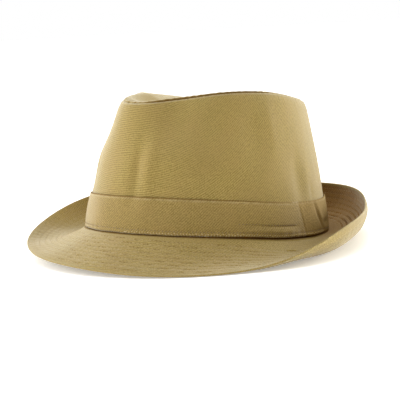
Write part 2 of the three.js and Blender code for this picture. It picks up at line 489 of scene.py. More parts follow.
class Nodes:
    """A node tree, with short calls that add and join nodes."""

    def __init__(self, owner: bpy.types.Material | bpy.types.World) -> None:
        """Empties the owner's node tree.

        Args:
            owner: the material or the world.
        """
        owner.use_nodes = True
        self.tree = owner.node_tree
        self.tree.nodes.clear()

    def add(self, kind: str, **sets: object) -> bpy.types.Node:
        """Adds a node.

        Args:
            kind: the node type's name after ShaderNode.
            sets: properties, and default values of inputs whose names start with in_.

        Returns:
            The node.
        """
        node = self.tree.nodes.new("ShaderNode" + kind)
        for key, value in sets.items():
            if key.startswith("in_"):
                node.inputs[key[3:].replace("_", " ")].default_value = value
            else:
                setattr(node, key, value)
        return node

    def link(self, source: Socket, target: Socket) -> None:
        """Joins two sockets."""
        self.tree.links.new(source, target)

    def put(self, value: object, target: Socket) -> None:
        """Fills an input.

        Args:
            value: a socket to join to it, a number or a colour.
            target: the input.
        """
        if isinstance(value, Socket):
            self.link(value, target)
        elif isinstance(value, (int, float)):
            target.default_value = value
        else:
            target.default_value = (*value, 1)

    def math(self, operation: str, *values: object, clamp: bool = False) -> Socket:
        """Adds a Math node.

        Args:
            operation: what it does.
            values: numbers or sockets.
            clamp: whether the result is held between 0 and 1.

        Returns:
            Its result.
        """
        node = self.add("Math", operation=operation, use_clamp=clamp)
        for value, target in zip(values, node.inputs):
            self.put(value, target)
        return node.outputs[0]

    def spread(self, value: Socket, middle: float, gain: float, base: float, clamp: bool = False) -> Socket:
        """Stretches a value about its middle.

        Args:
            value: the value.
            middle: the value that becomes the base.
            gain: how many times it is stretched.
            base: what is added.
            clamp: whether the result is held between 0 and 1.

        Returns:
            The stretched value.
        """
        return self.math("MULTIPLY_ADD", self.math("SUBTRACT", value, middle), gain, base, clamp=clamp)

    def wave(self, value: Socket) -> Socket:
        """A smooth wave from 0 to 1 that repeats at each whole number."""
        sine = self.math("SINE", self.math("MULTIPLY", value, 2 * math.pi))
        return self.math("MULTIPLY_ADD", sine, 0.5, 0.5)

    def mix(self, kind: str, share: object, first: object, second: object) -> Socket:
        """Adds a colour Mix node.

        Args:
            kind: its blend type.
            share: the factor, a number or a socket.
            first: colour or socket.
            second: colour or socket.

        Returns:
            Its result.
        """
        node = self.add("Mix", data_type="RGBA", blend_type=kind)
        self.put(share, node.inputs[0])
        self.put(first, node.inputs[6])
        self.put(second, node.inputs[7])
        return node.outputs[2]

    def noise(self, vector: Socket, scale: float, detail: float) -> Socket:
        """Adds a noise texture.

        Args:
            vector: where it is read.
            scale: patches a metre.
            detail: how many finer layers it has.

        Returns:
            Its value.
        """
        node = self.add("TexNoise", in_Scale=scale, in_Detail=detail)
        self.link(vector, node.inputs["Vector"])
        return node.outputs[0]

    def mark(self, name: str) -> Socket:
        """A number that is stored on the mesh."""
        return self.add("Attribute", attribute_name=name).outputs["Fac"]

    def finish(
        self, shader: bpy.types.Node, colour: Socket, height: Socket, strength: float, deep: float
    ) -> None:
        """Joins a shader to its colour, its bump and the material's output.

        Args:
            shader: the shader.
            colour: its colour.
            height: the height that its bump comes from.
            strength: how strong the bump is.
            deep: how deep the bump is, in metres.
        """
        bumped = self.add("Bump", in_Strength=strength, in_Distance=deep)
        self.link(height, bumped.inputs["Height"])
        self.link(colour, shader.inputs["Base Color"])
        self.link(bumped.outputs[0], shader.inputs["Normal"])
        self.link(shader.outputs[0], self.add("OutputMaterial").inputs[0])


@dataclasses.dataclass(frozen=True)
class Twill:
    """Cotton twill: slanting ribs of pale thread over darker filling, with a soft bloom.

    rib is the width of a rib in millimetres and slant its angle on the cloth in degrees.
    Three colours are laid over the clean cloth: a pale one on lighter edges, partly wear and partly
    painted highlight; a redder tint that paints shade; and a dark brown that paints shade into
    seams, grooves and hollows.
    """

    name: str
    slant: float
    light: Colour = (0.352, 0.26, 0.078)
    dark: Colour = (0.18, 0.128, 0.031)
    tan: Colour = (0.3, 0.2, 0.067)
    rubbed_and_lit: Colour = (0.46, 0.38, 0.21)
    redder_shade: Colour = (0.93, 0.72, 0.6)
    in_seam: Colour = (0.095, 0.038, 0.004)
    bloom: Colour = (1.0, 0.97, 0.87)
    rib: float = 1.7
    contrast: float = 1.0
    bump: float = 0.35
    grain: float = 0.5
    sheen: float = 0.5
    rough: float = 0.91

    def shaded(self) -> "Twill":
        """The same cloth where its bloom catches no light."""
        return dataclasses.replace(self, name=self.name + "_in_seam", sheen=0.0)

    def weave(self, n: Nodes, cloth: Socket) -> Socket:
        """The ribs, broken into yarns.

        Args:
            n: the material's nodes.
            cloth: places on the flat cloth.

        Returns:
            Their height, from 0 to 1.
        """
        turned = n.add("Mapping", in_Rotation=(0, 0, -math.radians(self.slant)))
        n.link(cloth, turned.inputs[0])
        split = n.add("SeparateXYZ")
        n.link(turned.outputs[0], split.inputs[0])
        shaky = n.spread(n.noise(cloth, 90.0, 2), 0.5, 0.0016, 0.0)
        across = n.math("DIVIDE", n.math("ADD", split.outputs[1], shaky), self.rib * MM)
        along = n.math("DIVIDE", split.outputs[0], self.rib * MM * 0.8)
        cell = n.math("FLOOR", n.math("ADD", across, 0.25))
        yarn = n.wave(n.math("ADD", along, n.math("MULTIPLY", cell, 0.5)))
        return n.math("MULTIPLY", n.wave(across), n.math("MULTIPLY_ADD", yarn, 0.35, 0.65))

    def dye(self, n: Nodes, cloth: Socket, weave: Socket, fleck: Socket, slub: Socket) -> Socket:
        """The colour of clean cloth, patchy as dyed cotton is.

        Args:
            n: the material's nodes.
            cloth: places on the flat cloth.
            weave: the height of the weave.
            fleck: fine noise.
            slub: coarser noise.

        Returns:
            The colour.
        """
        patchy = n.math("MULTIPLY_ADD", n.noise(cloth, 420.0, 1), 1.2, -0.2, clamp=True)
        lines = n.math("MULTIPLY", n.math("SUBTRACT", weave, 0.4), patchy)
        shade = n.math("MULTIPLY_ADD", lines, 0.8 * self.contrast, 0.5)
        speck = n.spread(fleck, 0.5, 4.0, 0.5, clamp=True)
        shade = n.math("ADD", shade, n.spread(speck, 0.5, self.grain, 0.0))
        shade = n.math("ADD", shade, n.spread(slub, 0.5, 0.35, 0.0), clamp=True)
        colour = n.mix("MIX", shade, self.dark, self.light)
        warmth = n.spread(n.noise(cloth, 38.0, 3), 0.45, 2.2, 0.15, clamp=True)
        colour = n.mix("MIX", n.math("MULTIPLY", warmth, 0.45), colour, self.tan)
        tone = n.spread(n.noise(cloth, 13.0, 2), 0.5, 0.22, 1.0)
        grey = n.add("CombineXYZ")
        for target in grey.inputs:
            n.link(tone, target)
        return n.mix("MULTIPLY", 1.0, colour, grey.outputs[0])

    def wear(self, n: Nodes, colour: Socket, slub: Socket) -> Socket:
        """The colour with painted shade laid on, and edges lightened by wear and painted highlight.

        Args:
            n: the material's nodes.
            colour: the clean colour.
            slub: noise that breaks the rubbing up.

        Returns:
            The colour.
        """
        # Edges are made lighter: partly wear, partly a painted highlight.
        rub_and_highlight = n.math("MULTIPLY", n.mark("worn_and_lit"), n.math("MULTIPLY_ADD", slub, 0.8, -0.12), clamp=True)
        colour = n.mix("MIX", rub_and_highlight, colour, self.rubbed_and_lit)
        # Painted shade, darker and redder, where the mesh is marked for it.
        colour = n.mix("MIX", n.mark("painted_red_shade"), colour, n.mix("MULTIPLY", 1.0, colour, self.redder_shade))
        # Painted shade: a dark brown laid into seams, grooves and hollows where shade falls.
        deep = n.math("MULTIPLY", n.math("POWER", n.mark("seam"), 1.4), 0.92, clamp=True)
        return n.mix("MIX", deep, colour, self.in_seam)

    def make(self) -> bpy.types.Material:
        """Builds the material on the cloth UV map.

        Returns:
            The material.
        """
        material = bpy.data.materials.new(self.name)
        n = Nodes(material)
        cloth = n.add("UVMap", uv_map="cloth").outputs[0]
        weave = self.weave(n, cloth)
        fleck = n.noise(cloth, 900.0, 1)
        slub = n.noise(cloth, 260.0, 2)
        colour = self.wear(n, self.dye(n, cloth, weave, fleck, slub), slub)
        height = n.math("ADD", n.math("MULTIPLY", weave, 0.8), n.math("MULTIPLY", fleck, 0.35))
        shader = n.add("BsdfPrincipled", in_Specular_IOR_Level=0.22)
        shader.inputs["Sheen Weight"].default_value = self.sheen
        shader.inputs["Sheen Roughness"].default_value = 0.4
        shader.inputs["Sheen Tint"].default_value = (*self.bloom, 1)
        n.link(n.math("MULTIPLY_ADD", weave, -0.1, self.rough, clamp=True), shader.inputs["Roughness"])
        n.finish(shader, colour, height, self.bump, 0.0005)
        return material


@dataclasses.dataclass(frozen=True)
class Thread:
    """Matching sewing thread with a twist along it."""

    name: str = "khaki_thread"
    colour: Colour = (0.42, 0.32, 0.14)

    def shade(self, share: float) -> Colour:
        """The thread's colour, lighter or darker."""
        return tuple(c * share for c in self.colour)

    def make(self) -> bpy.types.Material:
        """Builds the material.

        Returns:
            The material.
        """
        material = bpy.data.materials.new(self.name)
        n = Nodes(material)
        place = n.add("TexCoord").outputs["Object"]
        grain = n.noise(place, 2600.0, 1)
        tint = n.noise(place, 160.0, 1)
        colour = n.mix("MIX", grain, self.shade(0.72), self.shade(1.2))
        colour = n.mix("MIX", n.math("MULTIPLY", tint, 0.5), colour, self.shade(1.3))
        shader = n.add("BsdfPrincipled", in_Roughness=0.62, in_Sheen_Weight=0.2)
        n.finish(shader, colour, grain, 0.4, 0.0002)
        return material


@dataclasses.dataclass(frozen=True)
class Knot:
    """One point of a cloth ring's section.

    row is the piece's own measure along the cloth, side is its place across the wall from
    1 outside to -1 inside, and run is millimetres of cloth along the section. seam is how much
    painted shade the place takes, darkest in seams, grooves and hollows, and worn is how much
    lighter it is made, partly wear and partly painted highlight.
    """

    row: float
    side: float
    run: float
    seam: float = 0.0
    worn_and_lit: float = 0.0


@dataclasses.dataclass
class ClothRing:
    """A strip of cloth spun into a ring and then drawn over the block.

    node is the solid that it stands for. slot is the slot of its finish, and is not used. steps
    is the number of facets round the hat. The cut sizes of the flat cloth are in metres and
    square metres, and are not used.
    A closed section meets itself.
    """

    name: str
    node: str
    slot: str
    steps: int
    finish: Twill
    flat_size: tuple[float, float]
    flat_area: float | None = None
    closed: bool = True
    shaded_from: float = 0.3
    hem_gap: float = 0.000002

    def section(self) -> list[Knot]:
        """The knots of the section, in order along the cloth."""
        raise NotImplementedError

    def shape(self, angle: Points, row: Points, side: Points) -> Points:
        """Places of the knots on the block, in millimetres."""
        raise NotImplementedError

    def flat(self, angle: Points, run: Points) -> Points:
        """Where each point lay on the flat cloth, in millimetres."""
        return np.stack([BLOCK.arc(angle), run], -1)

    def painted_shade_at(self, angle: Points, row: Points, side: Points) -> Points:
        """Extra painted shade that depends on the place, from 0 to 1."""
        return 0.0 * angle

    def painted_red_shade_at(self, angle: Points, row: Points, side: Points) -> Points:
        """How much painted shade, darker and redder, each place takes, from 0 to 1."""
        return 0.0 * angle

    def painted_shade_copy_at(self, angle: Points, row: Points, side: Points) -> Points:
        """Where the copy without sheen is used to paint shade outside the seams, from 0 to 1."""
        return 0.0 * angle

    def build(self) -> bpy.types.Object:
        """Cuts the cloth as a flat grid, draws it over the block, sews its ends and dresses it.

        Returns:
            The finished object.
        """
        knots = self.section()
        gaps = len(knots) if self.closed else len(knots) - 1
        bm = bmesh.new()
        bmesh.ops.create_grid(bm, x_segments=self.steps, y_segments=gaps, size=1)
        cell = np.array([v.co[:2] for v in bm.verts])
        step = np.rint((cell[:, 0] + 1) / 2 * self.steps).astype(int)
        line = np.rint((cell[:, 1] + 1) / 2 * gaps).astype(int)
        self.draw(bm, knots, step, line % len(knots))
        edge = (step == 0) | (step == self.steps) | (line == 0) | (line == gaps)
        hems = [v for v, is_edge in zip(bm.verts, edge) if is_edge]
        bmesh.ops.remove_doubles(bm, verts=hems, dist=self.hem_gap)
        bmesh.ops.recalc_face_normals(bm, faces=bm.faces)
        if bm.calc_volume(signed=True) < 0:
            bmesh.ops.reverse_faces(bm, faces=bm.faces)
        piece = finish_mesh(bm, self.name)
        self.dress(piece)
        return piece

    def draw(self, bm: bmesh.types.BMesh, knots: list[Knot], step: Points, knot: Points) -> None:
        """Draws the flat grid over the block, and marks and maps its cloth.

        Args:
            bm: the grid.
            knots: the section.
            step: each vertex's step round the hat.
            knot: each vertex's knot of the section.
        """
        angle = np.mod(step, self.steps) * 360 / self.steps - 180
        row, side, run, seam, worn_and_lit = (
            np.array([getattr(k, f.name) for k in knots], float)[knot] for f in dataclasses.fields(Knot)
        )
        # Marks: painted shade, redder painted shade, and lighter edges (wear and painted highlight).
        seam = np.clip(seam + self.painted_shade_at(angle, row, side), 0, 1)
        marks = {"seam": seam, "worn_and_lit": worn_and_lit, "painted_red_shade": self.painted_red_shade_at(angle, row, side)}
        placed = BLOCK.stand(self.shape(angle, row, side))
        cloth = self.flat(step * 360 / self.steps - 180, run) * MM
        layers = {name: bm.verts.layers.float.new(name) for name in marks}
        layout = bm.loops.layers.uv.new("cloth")
        for i, vert in enumerate(bm.verts):
            vert.co = placed[i]
            for name, layer in layers.items():
                vert[layer] = marks[name][i]
            for loop in vert.link_loops:
                loop[layout].uv = cloth[i]
        # Faces in deep painted shade, or marked for it, take the copy without sheen: painted shade.
        uses_shade_copy = np.maximum(seam, self.painted_shade_copy_at(angle, row, side))
        bm.verts.index_update()
        for face in bm.faces:
            face.smooth = True
            total = sum(uses_shade_copy[v.index] for v in face.verts)
            face.material_index = int(total > self.shaded_from * len(face.verts))

    def dress(self, piece: bpy.types.Object) -> None:
        """Gives the piece its two finishes and its place in the frame.

        Args:
            piece: the finished object.
        """
        piece.data.materials.append(self.finish.make())
        # The second finish is the same cloth without sheen, used to paint shade.
        piece.data.materials.append(self.finish.shaded().make())
        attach(piece, "root")
        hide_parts(self.node)


@dataclasses.dataclass
class CrownWall(ClothRing):
    """The upright wall of the crown, an arc of twill joined at the back.

    A knot's row is the share of the way from the foot to the rim. steep and level say how
    fast the ribs climb round the hat, and level holds at level_at, where the front is drawn
    in.
    """

    name: str = "crown_wall_cloth"
    node: str = "crown_side"
    slot: str = "crown_cloth"
    steps: int = 480
    finish: Twill = Twill("crown_twill", slant=0, contrast=2.7)
    flat_size: tuple[float, float] = (0.595, 0.105)
    flat_area: float | None = 0.0505
    tall: float = 97.0
    start: float = -0.004
    rows: int = 62
    inner_rows: int = 22
    shoulder: float = 1.3
    tuck_in: float = 1.3
    steep: float = 0.8
    level: float = 0.06
    level_at: float = 8.0
    level_half: float = 34.0

    def section(self) -> list[Knot]:
        """Outer face up, over the shoulder into the seam, and down the inner face.

        Returns:
            The knots of the section.
        """
        # Painted shade darkens the foot under the band, the turn into the rim's seam, the inner face.
        knots = [
            Knot(r, 1, r * self.tall, seam=float(ease(0.055, 0.02, r)))
            for r in rows_between(self.start, 1 - self.shoulder / self.tall, self.rows)
        ]
        # The shoulder is made lighter, partly wear and partly painted highlight; painted shade deepens
        # towards the seam.
        for i in range(1, 5):
            lean = math.radians(22.5 * i)
            up = 1 - self.shoulder / self.tall * (1 - math.sin(lean))
            side = 1 - (1 - math.cos(lean)) * self.tuck_in
            knots.append(Knot(up, side, self.tall, worn_and_lit=1.0, seam=0.05 * i * i))
        knots.append(Knot(1 - 0.9 / self.tall, -0.35, self.tall + 2, seam=1))
        knots.append(Knot(1 - 2.4 / self.tall, -0.8, self.tall + 3, seam=1))
        for r in rows_between(1 - 3.2 / self.tall, self.start, self.inner_rows):
            knots.append(Knot(r, -1, r * self.tall, seam=0.3))
        return knots

    def shape(self, angle: Points, row: Points, side: Points) -> Points:
        """Places of the knots, with the small waves of handled cloth.

        Args:
            angle: degrees round from the front.
            row: each knot's row.
            side: each knot's side.

        Returns:
            The places, in millimetres.
        """
        out = (side - 1) / 2 * BLOCK.wall
        high = row * self.tall
        loose = ease(0.28, 0.45, row) * (1 - ease(0.9, 1.0, row))
        waves = 0.22 * ripple(angle, high, (5, 14), 0.05, seed=3) * loose
        waves += 0.03 * ripple(angle, high, (30, 60), 0.12, seed=4) * loose
        pucker = 0.05 * ripple(angle, high, (70, 110), 0.02, seed=5) * bump(1 - row, 0.07)
        behind = turn(angle, 180)
        back = -0.5 * bump(behind, 0.7) + 0.25 * bump(np.abs(behind) - 2.2, 1.4)
        return BLOCK.wall_point(angle, row, out + waves + pucker + back * (side > 0))

    def painted_shade_at(self, angle: Points, row: Points, side: Points) -> Points:
        """Painted shade along the back's upright seam, and less where the rim's seam lies closed."""
        closed = ease(0.965, 0.972, row) * closed_rim(angle)
        return 0.9 * bump(turn(angle, 180), 0.6) * (side > 0) - closed * (side > -0.9)

    def flat(self, angle: Points, run: Points) -> Points:
        """The ribs climb round the hat, and run level where the front is drawn in.

        Args:
            angle: degrees round from the front.
            run: millimetres of cloth along the section.

        Returns:
            Where each point lay on the flat cloth, in millimetres.
        """
        fine = np.arange(-180, 181, 1.0)
        slope = self.steep - (self.steep - self.level) * bump(fine - self.level_at, self.level_half)
        run_up = np.concatenate([[0], np.cumsum(slope[1:] * np.diff(BLOCK.arc(fine)))])
        return np.stack([BLOCK.arc(angle), run - np.interp(angle, fine, run_up)], -1)


@dataclasses.dataclass
class CrownTip(ClothRing):
    """The top panel, sewn inside the wall's rim and pressed into a long dent.

    A knot's row is the share of the way from the panel's middle to its seam. From edge on
    the cloth turns down over a lip into the seam.
    """

    name: str = "crown_tip_cloth"
    node: str = "crown_tip"
    slot: str = "tip_cloth"
    steps: int = 360
    finish: Twill = Twill("tip_twill", slant=40)
    flat_size: tuple[float, float] = (0.16, 0.135)
    flat_area: float | None = 0.0165
    closed: bool = False
    rows: int = 64
    inner_rows: int = 24
    reach: float = 70.0
    edge: float = 0.985
    lip: float = 0.015

    def section(self) -> list[Knot]:
        """From the middle of the upper face out to the seam, and back underneath.

        Returns:
            The knots of the section.
        """
        # Painted shade darkens the edge that turns into the rim's seam, and the underside.
        knots = [
            Knot(r, 1, self.reach * r, seam=float(bump(np.array(1 - r), 0.02)))
            for r in rows_between(0, self.edge, self.rows)
        ]
        for i in range(1, 7):
            lean = math.radians(15 * i)
            row = self.edge + self.lip * math.sin(lean)
            knots.append(Knot(row, math.cos(lean), self.reach, 0.55 + 0.075 * i))
        knots.append(Knot(1.0, -2.2, self.reach + 1, seam=1))
        knots.append(Knot(self.edge, -2.9, self.reach + 2, seam=1))
        for r in rows_between(0.95, 0.0, self.inner_rows):
            knots.append(Knot(r, -1.0, self.reach * r, seam=0.3))
        return knots

    def shape(self, angle: Points, row: Points, side: Points) -> Points:
        """Places of the knots; the edge dips into the seam.

        Args:
            angle: degrees round from the front.
            row: each knot's row.
            side: each knot's side, below -1 inside the seam.

        Returns:
            The places, in millimetres.
        """
        shut = closed_rim(angle)
        seam = BLOCK.wall_point(angle, 1 + 0 * angle, -BLOCK.wall + 0.3 + 0.42 * shut)
        middle = np.array([0, BLOCK.rim_shift, 0])
        place = middle + (seam - middle) * row[:, None]
        dip = 0.9 - 0.7 * shut
        drop = np.where(side >= 0, (1 - side) * dip, dip - side - 0.1)
        drop = np.where(side == -1.0, BLOCK.tip, drop)
        z = BLOCK.tip_height(angle, np.minimum(row, 1), place) - drop
        z = z - 0.5 * shut * ease(0.93, 0.985, row) * (side != -1.0)
        run = row * self.reach
        waves = 0.5 * ripple(angle, run, (2, 6), 0.06, seed=11) * row * (1 - ease(0.75, 1, row))
        pucker = 0.14 * ripple(angle, run, (60, 95), 0.03, seed=12) * bump(1 - row, 0.09)
        place[:, 2] = z + waves + pucker * (side > 0)
        return place

    def painted_shade_at(self, angle: Points, row: Points, side: Points) -> Points:
        """Less shade where the rim's seam lies closed."""
        return -closed_rim(angle) * (side > -2.5)

    def flat(self, angle: Points, run: Points) -> Points:
        """The panel is cut flat, with its grain straight along the hat."""
        t = np.radians(angle)
        return np.stack([run * np.sin(t) * 0.9, -run * np.cos(t) * 1.15], -1)


@dataclasses.dataclass
class Band(ClothRing):
    """The hat band: a folded strip of twill with its end lapped at the wearer's left.

    A knot's row is millimetres above the foot. The lap's edge leans from lap_low at the foot
    to lap_high at the top, and a slanting furrow lies behind it. A crease along the band ends
    at the angles crease_from and crease_to.
    """

    name: str = "band_cloth"
    node: str = "band"
    slot: str = "band_cloth"
    steps: int = 720
    finish: Twill = Twill(
        "band_twill", 45, light=(0.34, 0.243, 0.076), dark=(0.16, 0.109, 0.027), rib=1.45, contrast=2.2
    )
    flat_size: tuple[float, float] = (0.62, 0.028)
    rows: int = 44
    inner_rows: int = 6
    lap_low: float = 98.5
    lap_high: float = 95.0
    lap_width: float = 18.0
    crease: float = 8.8
    crease_from: float = 63.0
    crease_to: float = 91.0
    furrow_at: float = 108.5
    furrow_row: float = 22.0
    furrow_slant: float = 0.36
    stitch: float = 2.4

    def section(self) -> list[Knot]:
        """Outer face up, over the folded top edge and down the inner face.

        Returns:
            The knots of the section.
        """
        tall = BLOCK.band_height
        knots = []
        # The lower fold carries painted shadow where it meets the brim, and is made a little lighter.
        for i in range(4):
            lean = math.radians(30 * i)
            knots.append(Knot(0.6 * (1 - math.sin(lean)), -math.cos(lean), 0.4 * i, 0.9 - 0.2 * i, 0.3))
        for r in rows_between(1.0, tall - 0.9, self.rows):
            # A painted highlight lies in a narrow stripe just under the top fold.
            under = float(bump(np.array(tall - 1.3 - r), 0.7))
            knots.append(Knot(r, 1, r + 1, worn_and_lit=0.8 * under))
        # The top fold carries painted shadow, a dark line against the wall above.
        for i in range(5):
            lean = math.radians(22.5 * i)
            knots.append(Knot(tall - 0.6 * (1 - math.sin(lean)), math.cos(lean), tall + i * 0.3, 0.7))
        knots.append(Knot(tall - 0.9, -0.9, tall + 2, 1.0))
        # The inner face is painted in shade.
        for r in rows_between(tall - 3, 2.0, self.inner_rows):
            knots.append(Knot(r, -1, r, seam=0.6))
        return knots

    def lap_edge(self, row: Points) -> Points:
        """The angle of the lapped end at a height above the foot."""
        return self.lap_low + (self.lap_high - self.lap_low) * row / BLOCK.band_height

    def furrow(self, row: Points) -> Points:
        """The angle of the slanting furrow at a height above the foot."""
        return self.furrow_at + (self.furrow_row - row) * self.furrow_slant

    def creased(self, angle: Points) -> Points:
        """How much of the crease there is at each angle, from 0 to 1."""
        ends = 1 - ease(self.crease_to - 3, self.crease_to + 4, angle)
        return ease(self.crease_from - 3, self.crease_from + 4, angle) * ends

    def relief(self, angle: Points, row: Points) -> Points:
        """How far the band stands out of its plain shape.

        Args:
            angle: degrees round from the front.
            row: millimetres above the foot.

        Returns:
            Millimetres outwards.
        """
        past = turn(angle, 0) - self.lap_edge(row)
        lap = 0.2 * ease(-0.35, 0.35, past) * (1 - ease(self.lap_width - 3, self.lap_width + 8, past))
        hem = 0.1 * bump(past - 0.9, 0.7)
        within = self.creased(angle)
        tuck = within * (0.75 * bump(row - self.crease + 4.2, 2.6) - 0.6 * bump(row - self.crease, 0.9))
        sewn = -0.28 * bump(row - self.stitch - 0.6, 0.7) * (1 - 0.7 * within)
        slant = self.furrow(row)
        dip = 0.45 * bump(angle - slant - 3.0, 1.8) - 1.1 * bump(angle - slant, 1.4)
        furrow = bump(row - 14, 9) * dip
        heel = 0.9 * bump(angle - 121, 5) * (bump(row - 3.5, 2.5) - 0.9 * bump(row - 8.5, 2.0))
        waves = 0.16 * ripple(angle, row, (6, 16), 0.12, seed=21) * ease(0, 6, 26 - row)
        pull = 0.09 * ripple(angle, row, (60, 100), 0.2, seed=22) * bump(row - self.stitch, 4)
        return lap + hem + tuck + sewn + furrow + heel + waves + pull

    def lift(self, angle: Points) -> Points:
        """How far the lower edge hangs clear of the brim, in millimetres."""
        open_side = ease(30, 75, angle) * (1 - ease(112, 124, angle))
        return 0.4 + 0.8 * open_side + 0.12 * ripple(angle, 0 * angle, (9, 22), 0, seed=23)

    def above(self, angle: Points, row: Points) -> Points:
        """Height above the foot, with the lower edge lifted."""
        return row + self.lift(angle) * (1 - ease(0, 12, row))

    def shape(self, angle: Points, row: Points, side: Points) -> Points:
        """Places of the knots round the foot of the crown.

        Args:
            angle: degrees round from the front.
            row: each knot's row.
            side: each knot's side.

        Returns:
            The places, in millimetres.
        """
        above = self.above(angle, row)
        half = BLOCK.band / 2
        flare = 0.5 * bump(row, 3) * ease(45, 75, angle) * (1 - ease(104, 118, angle))
        out = 0.1 + half + side * half + (flare + self.relief(angle, row)) * (side > -0.5)
        return BLOCK.wall_point(angle, BLOCK.share_at(angle, above), out)

    def painted_shade_at(self, angle: Points, row: Points, side: Points) -> Points:
        """Painted shade by the lap, tuck, furrow and heel, and less on the far end of the top edge.

        Args:
            angle: degrees round from the front.
            row: each knot's row.
            side: each knot's side.

        Returns:
            Extra painted shade.
        """
        past = turn(angle, 0) - self.lap_edge(row)
        edge = 0.3 * bump(past + 0.4, 0.4) * bump(row - 17, 8)
        fold = 0.55 * bump(angle - self.furrow(row) + 0.3, 0.9) * bump(row - 13, 8)
        heel = 0.4 * bump(angle - 118, 5) * bump(row - 6.5, 1.8)
        tuck = 0.2 * self.creased(angle) * bump(row - self.crease + 0.2, 0.5)
        # Less painted shade on the far end of the top edge.
        light = 0.5 * ease(80, 95, angle) * (1 - ease(140, 160, angle)) * (row > BLOCK.band_height - 0.8)
        return (side > 0) * (edge + fold + heel + tuck - light)

    def painted_red_shade_at(self, angle: Points, row: Points, side: Points) -> Points:
        """Painted shade, darker and redder towards the back, and a little past the lapped end's edge."""
        redder_shade = 0.8 * ease(88, 118, np.abs(angle))
        return np.where(angle > self.lap_edge(row), 0.2, redder_shade) * (side > 0)

    def painted_shade_copy_at(self, angle: Points, row: Points, side: Points) -> Points:
        """The lapped end and the back past it take the copy without sheen, a painted shade."""
        return 1.0 * (angle > self.lap_edge(row)) * (side > 0)


